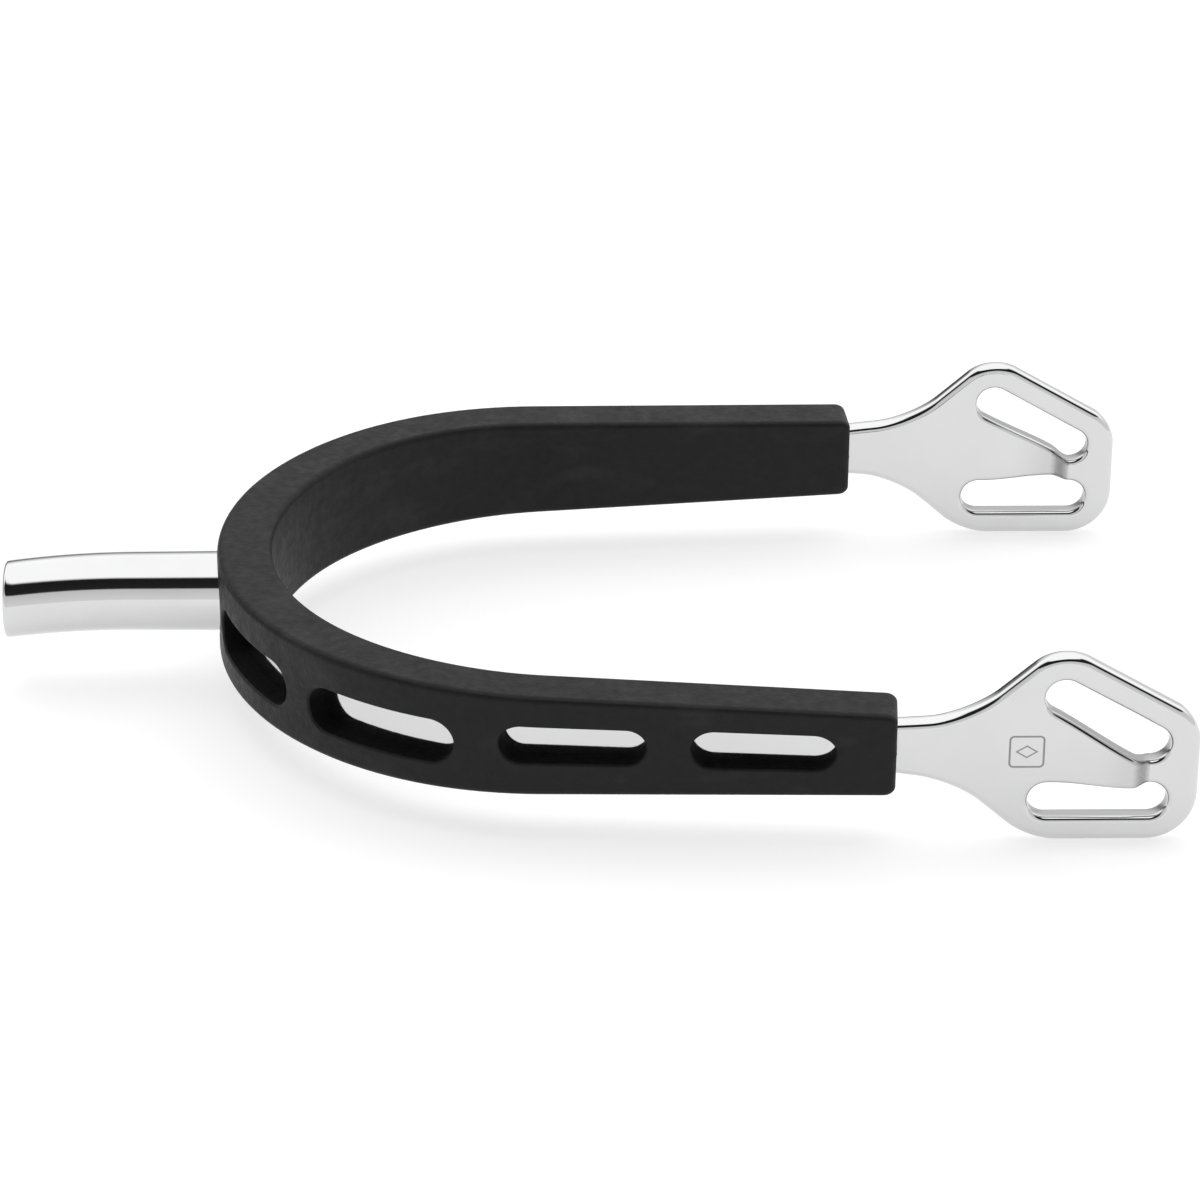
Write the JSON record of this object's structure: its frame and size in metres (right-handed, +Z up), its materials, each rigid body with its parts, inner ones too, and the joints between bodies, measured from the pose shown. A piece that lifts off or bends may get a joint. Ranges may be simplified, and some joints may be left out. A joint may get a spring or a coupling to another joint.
{
  "type": "riding spur",
  "caption": "English riding spur: U-shaped steel heel band in a windowed rubber grip sleeve, with a short blunt drooping neck and slotted strap plates.",
  "frame": {"origin": "on the sleeve's inner face where the back of the boot heel rests, midway up the sleeve", "axes": "+X from heel to toe along the branches, +Y to the left branch, +Z up"},
  "size_m": [0.1436, 0.0908, 0.0244],
  "materials": {
    "steel": "polished stainless steel",
    "rubber": "matte moulded black"
  },
  "bodies": {
    "root": {"heel_band": "steel", "neck": "steel", "grip_sleeve": "rubber"}
  },
  "joints": []
}
